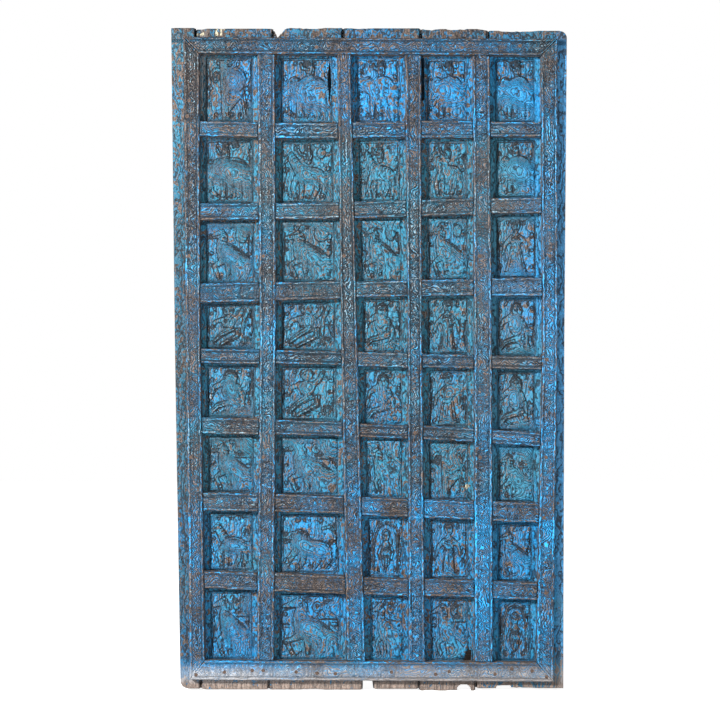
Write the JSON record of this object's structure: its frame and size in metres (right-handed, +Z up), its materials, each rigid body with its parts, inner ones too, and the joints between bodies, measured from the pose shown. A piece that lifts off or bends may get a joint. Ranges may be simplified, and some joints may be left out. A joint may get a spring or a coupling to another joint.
{
  "type": "carved temple door leaf",
  "caption": "Plank door leaf with carved figure panels between applied stiles, posts and rails, in worn blue paint, held by ledges across the back.",
  "frame": {"origin": "under the middle of the leaf, at the level of its lowest plank end, halfway through its depth", "axes": "+Z up along the planks, +X to the right seen from the front, +Y to the back; the carved front faces -Y"},
  "size_m": [1.1344, 0.085, 1.9],
  "materials": {
    "planks": "azure paint worn to grey-brown wood on the high parts of the carving",
    "battens": "grey-brown weathered wood with azure paint left in the grain and the carved vine",
    "ledges": "bare weathered wood",
    "nails": "dark rusted forged iron"
  },
  "bodies": {
    "root": {"plank_1": "planks", "plank_2": "planks", "plank_3": "planks", "plank_4": "planks", "plank_5": "planks", "plank_6": "planks", "stile_left": "battens", "stile_right": "battens", "top_rail": "battens", "bottom_rail": "battens", "post_1": "battens", "post_2": "battens", "post_3": "battens", "post_4": "battens", "short_rail_1_1": "battens", "short_rail_1_2": "battens", "short_rail_1_3": "battens", "short_rail_1_4": "battens", "short_rail_1_5": "battens", "short_rail_2_1": "battens", "short_rail_2_2": "battens", "short_rail_2_3": "battens", "short_rail_2_4": "battens", "short_rail_2_5": "battens", "short_rail_3_1": "battens", "short_rail_3_2": "battens", "short_rail_3_3": "battens", "short_rail_3_4": "battens", "short_rail_3_5": "battens", "short_rail_4_1": "battens", "short_rail_4_2": "battens", "short_rail_4_3": "battens", "short_rail_4_4": "battens", "short_rail_4_5": "battens", "short_rail_5_1": "battens", "short_rail_5_2": "battens", "short_rail_5_3": "battens", "short_rail_5_4": "battens", "short_rail_5_5": "battens", "short_rail_6_1": "battens", "short_rail_6_2": "battens", "short_rail_6_3": "battens", "short_rail_6_4": "battens", "short_rail_6_5": "battens", "short_rail_7_1": "battens", "short_rail_7_2": "battens", "short_rail_7_3": "battens", "short_rail_7_4": "battens", "short_rail_7_5": "battens", "ledge_1": "ledges", "ledge_2": "ledges", "ledge_3": "ledges", "ledge_4": "ledges", "frame_nails": "nails", "ledge_nails": "nails"}
  },
  "joints": []
}
